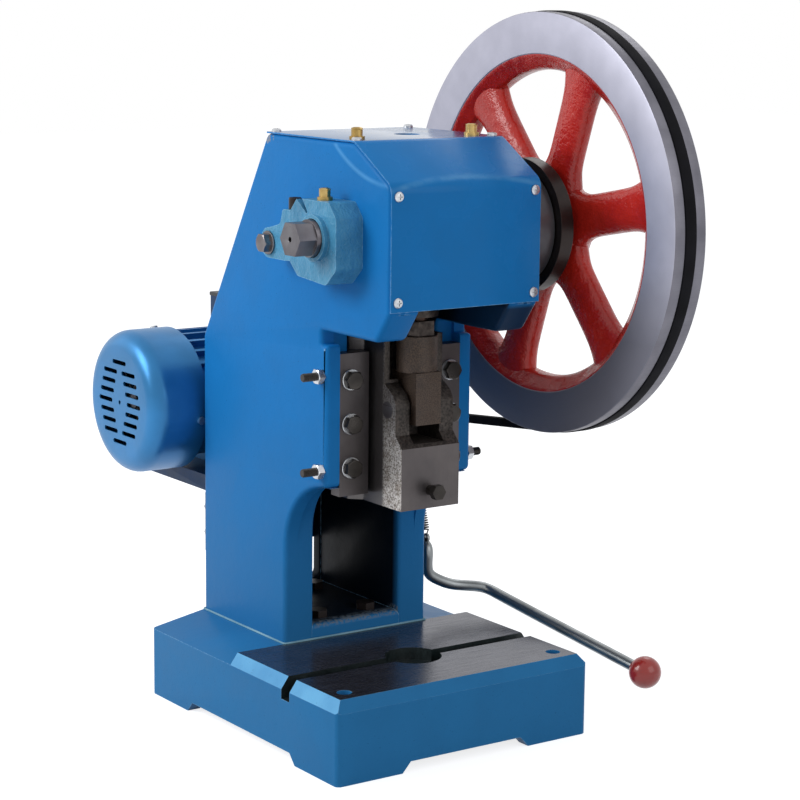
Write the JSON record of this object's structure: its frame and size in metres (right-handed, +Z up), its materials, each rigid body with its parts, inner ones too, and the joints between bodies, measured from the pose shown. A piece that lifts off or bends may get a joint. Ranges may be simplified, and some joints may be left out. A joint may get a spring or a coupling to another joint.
{
  "type": "bench punch press",
  "caption": "Bench punch press: C-frame on a slotted base, crank-driven ram in gibs, spoked flywheel with a key clutch, belt from a motor behind the column, hand lever.",
  "frame": {"origin": "middle of the part's box, on the bench", "axes": "+X along the crankshaft towards the flywheel, +Y towards the motor at the back, +Z up"},
  "size_m": [0.329, 0.604, 0.68],
  "materials": {
    "painted_iron": "gloss",
    "painted_sheet": "gloss",
    "motor_paint": "gloss",
    "motor_plastic": "matte",
    "steel": "oiled",
    "zinc": "bright",
    "bronze": "satin",
    "lining": "matte",
    "enamelled_iron": "enamel spokes, machined rim",
    "red_plastic": "gloss",
    "belt_rubber": "matte",
    "winding": "matte"
  },
  "bodies": {
    "press": {"base_casting": "painted_iron", "frame_casting": "painted_iron", "column_bolts": "steel", "head_cover": "painted_sheet", "cover_screws": "zinc", "left_gib": "steel", "right_gib": "steel", "gib_bolts": "steel", "gib_washers": "zinc", "gib_set_screws": "steel", "set_screw_nuts": "zinc", "left_main_bush": "bronze", "right_main_bush": "bronze", "brake_block": "painted_iron", "brake_lining": "lining", "brake_bolt": "steel", "oil_cups": "bronze", "motor_plate": "painted_iron", "plate_bolts": "zinc", "motor_housing": "motor_paint", "drive_shield": "motor_paint", "fan_shield": "motor_paint", "stator": "winding", "motor_bearings": "steel", "fan_cowl": "motor_paint", "cowl_screws": "zinc", "terminal_box": "motor_plastic", "terminal_lid": "motor_plastic", "motor_bolts": "zinc", "drive_belt": "belt_rubber", "lever_stud": "steel", "finger_stud": "steel", "return_spring": "steel"},
    "crank": {"crankshaft": "steel", "clutch_collar": "steel", "end_washer": "steel", "end_bolt": "steel"},
    "key": {"clutch_key": "steel"},
    "wheel": {"flywheel": "enamelled_iron", "clutch_ring": "steel", "ring_screws": "steel", "hub_bush": "bronze"},
    "rod": {"connecting_rod": "steel", "rod_bush": "bronze", "adjusting_screw": "steel", "lock_nut": "steel", "rod_block": "steel"},
    "slide": {"ram": "steel", "wrist_pin": "steel", "shank_screw": "steel"},
    "rotor": {"rotor_shaft": "steel", "cooling_fan": "motor_plastic", "motor_pulley": "steel"},
    "lever": {"hand_lever": "steel", "ball_knob": "red_plastic"},
    "link": {"pull_rod": "steel"},
    "finger": {"clutch_finger": "steel"},
    "left_lid": {"left_cup_lid": "bronze"},
    "right_lid": {"right_cup_lid": "bronze"},
    "brake_lid": {"brake_cup_lid": "bronze"}
  },
  "joints": [
    {"name": "crank_turn", "type": "hinge", "parent": "press", "child": "crank", "pos_m": [-0.022, -0.102, 0.48], "axis": [1, 0, 0], "range_deg": [0, 180]},
    {"name": "rod_swing", "type": "hinge", "parent": "crank", "child": "rod", "pos_m": [-0.022, -0.102, 0.495], "axis": [1, 0, 0], "range_deg": [-180, 0]},
    {"name": "ram_slide", "type": "slide", "parent": "press", "child": "slide", "axis": [0, 0, 1], "range_m": [-0.03, 0]},
    {"name": "wheel_turn", "type": "hinge", "parent": "press", "child": "wheel", "pos_m": [-0.022, -0.102, 0.48], "axis": [1, 0, 0], "continuous": true},
    {"name": "motor_turn", "type": "hinge", "parent": "press", "child": "rotor", "pos_m": [-0.022, 0.228, 0.283], "axis": [1, 0, 0], "continuous": true},
    {"name": "lever_press", "type": "hinge", "parent": "press", "child": "lever", "pos_m": [-0.022, 0.05, 0.149], "axis": [1, 0, 0], "range_deg": [0, 8], "stiffness_Nm_per_rad": 4, "springref_deg": -14.32},
    {"name": "link_swing", "type": "hinge", "parent": "lever", "child": "link", "pos_m": [-0.022, 0.022, 0.149], "axis": [1, 0, 0], "range_deg": [-8, 0]},
    {"name": "finger_swing", "type": "hinge", "parent": "press", "child": "finger", "pos_m": [-0.022, 0.072, 0.401], "axis": [1, 0, 0], "range_deg": [0, 8]},
    {"name": "key_turn", "type": "hinge", "parent": "crank", "child": "key", "pos_m": [-0.022, -0.08154, 0.45285], "axis": [1, 0, 0], "range_deg": [0, 40]},
    {"name": "left_lid_open", "type": "hinge", "parent": "press", "child": "left_lid", "pos_m": [-0.022, -0.0956, 0.5756], "axis": [-1, 0, 0], "range_deg": [0, 100]},
    {"name": "right_lid_open", "type": "hinge", "parent": "press", "child": "right_lid", "pos_m": [-0.022, -0.0956, 0.5756], "axis": [-1, 0, 0], "range_deg": [0, 100]},
    {"name": "brake_lid_open", "type": "hinge", "parent": "press", "child": "brake_lid", "pos_m": [-0.022, -0.0936, 0.5226], "axis": [-1, 0, 0], "range_deg": [0, 100]}
  ],
  "couplings": [
    {"joint": "rod_swing", "follows": "crank_turn", "ratio": -1},
    {"joint": "ram_slide", "follows": "crank_turn", "m_per_rad": -0.0095493},
    {"joint": "motor_turn", "follows": "wheel_turn", "ratio": 6.1},
    {"joint": "link_swing", "follows": "lever_press", "ratio": -1},
    {"joint": "finger_swing", "follows": "lever_press", "ratio": 1}
  ]
}
